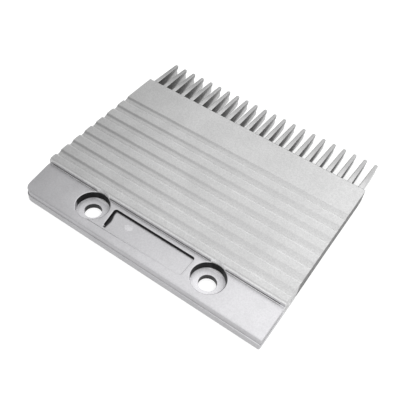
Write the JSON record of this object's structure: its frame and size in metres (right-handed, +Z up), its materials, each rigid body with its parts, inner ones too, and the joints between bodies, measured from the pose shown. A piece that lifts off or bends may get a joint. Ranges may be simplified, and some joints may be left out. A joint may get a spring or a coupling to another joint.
{
  "type": "escalator comb plate",
  "caption": "Cast aluminium comb segment with a row of tapered teeth, a cross-ridged tread deck and a lower screw flange with counterbored holes and a shallow recess.",
  "frame": {"origin": "midway between the two screw holes, on the flat mounting face at the underside", "axes": "+X along the row of teeth, +Y from the screw flange towards the tooth tips, +Z up out of the tread surface"},
  "size_m": [0.2014, 0.1812, 0.0151],
  "materials": {
    "cast_aluminium": "satin, lightly blasted pressure die casting"
  },
  "bodies": {
    "root": {"comb_plate": "cast_aluminium"}
  },
  "joints": []
}
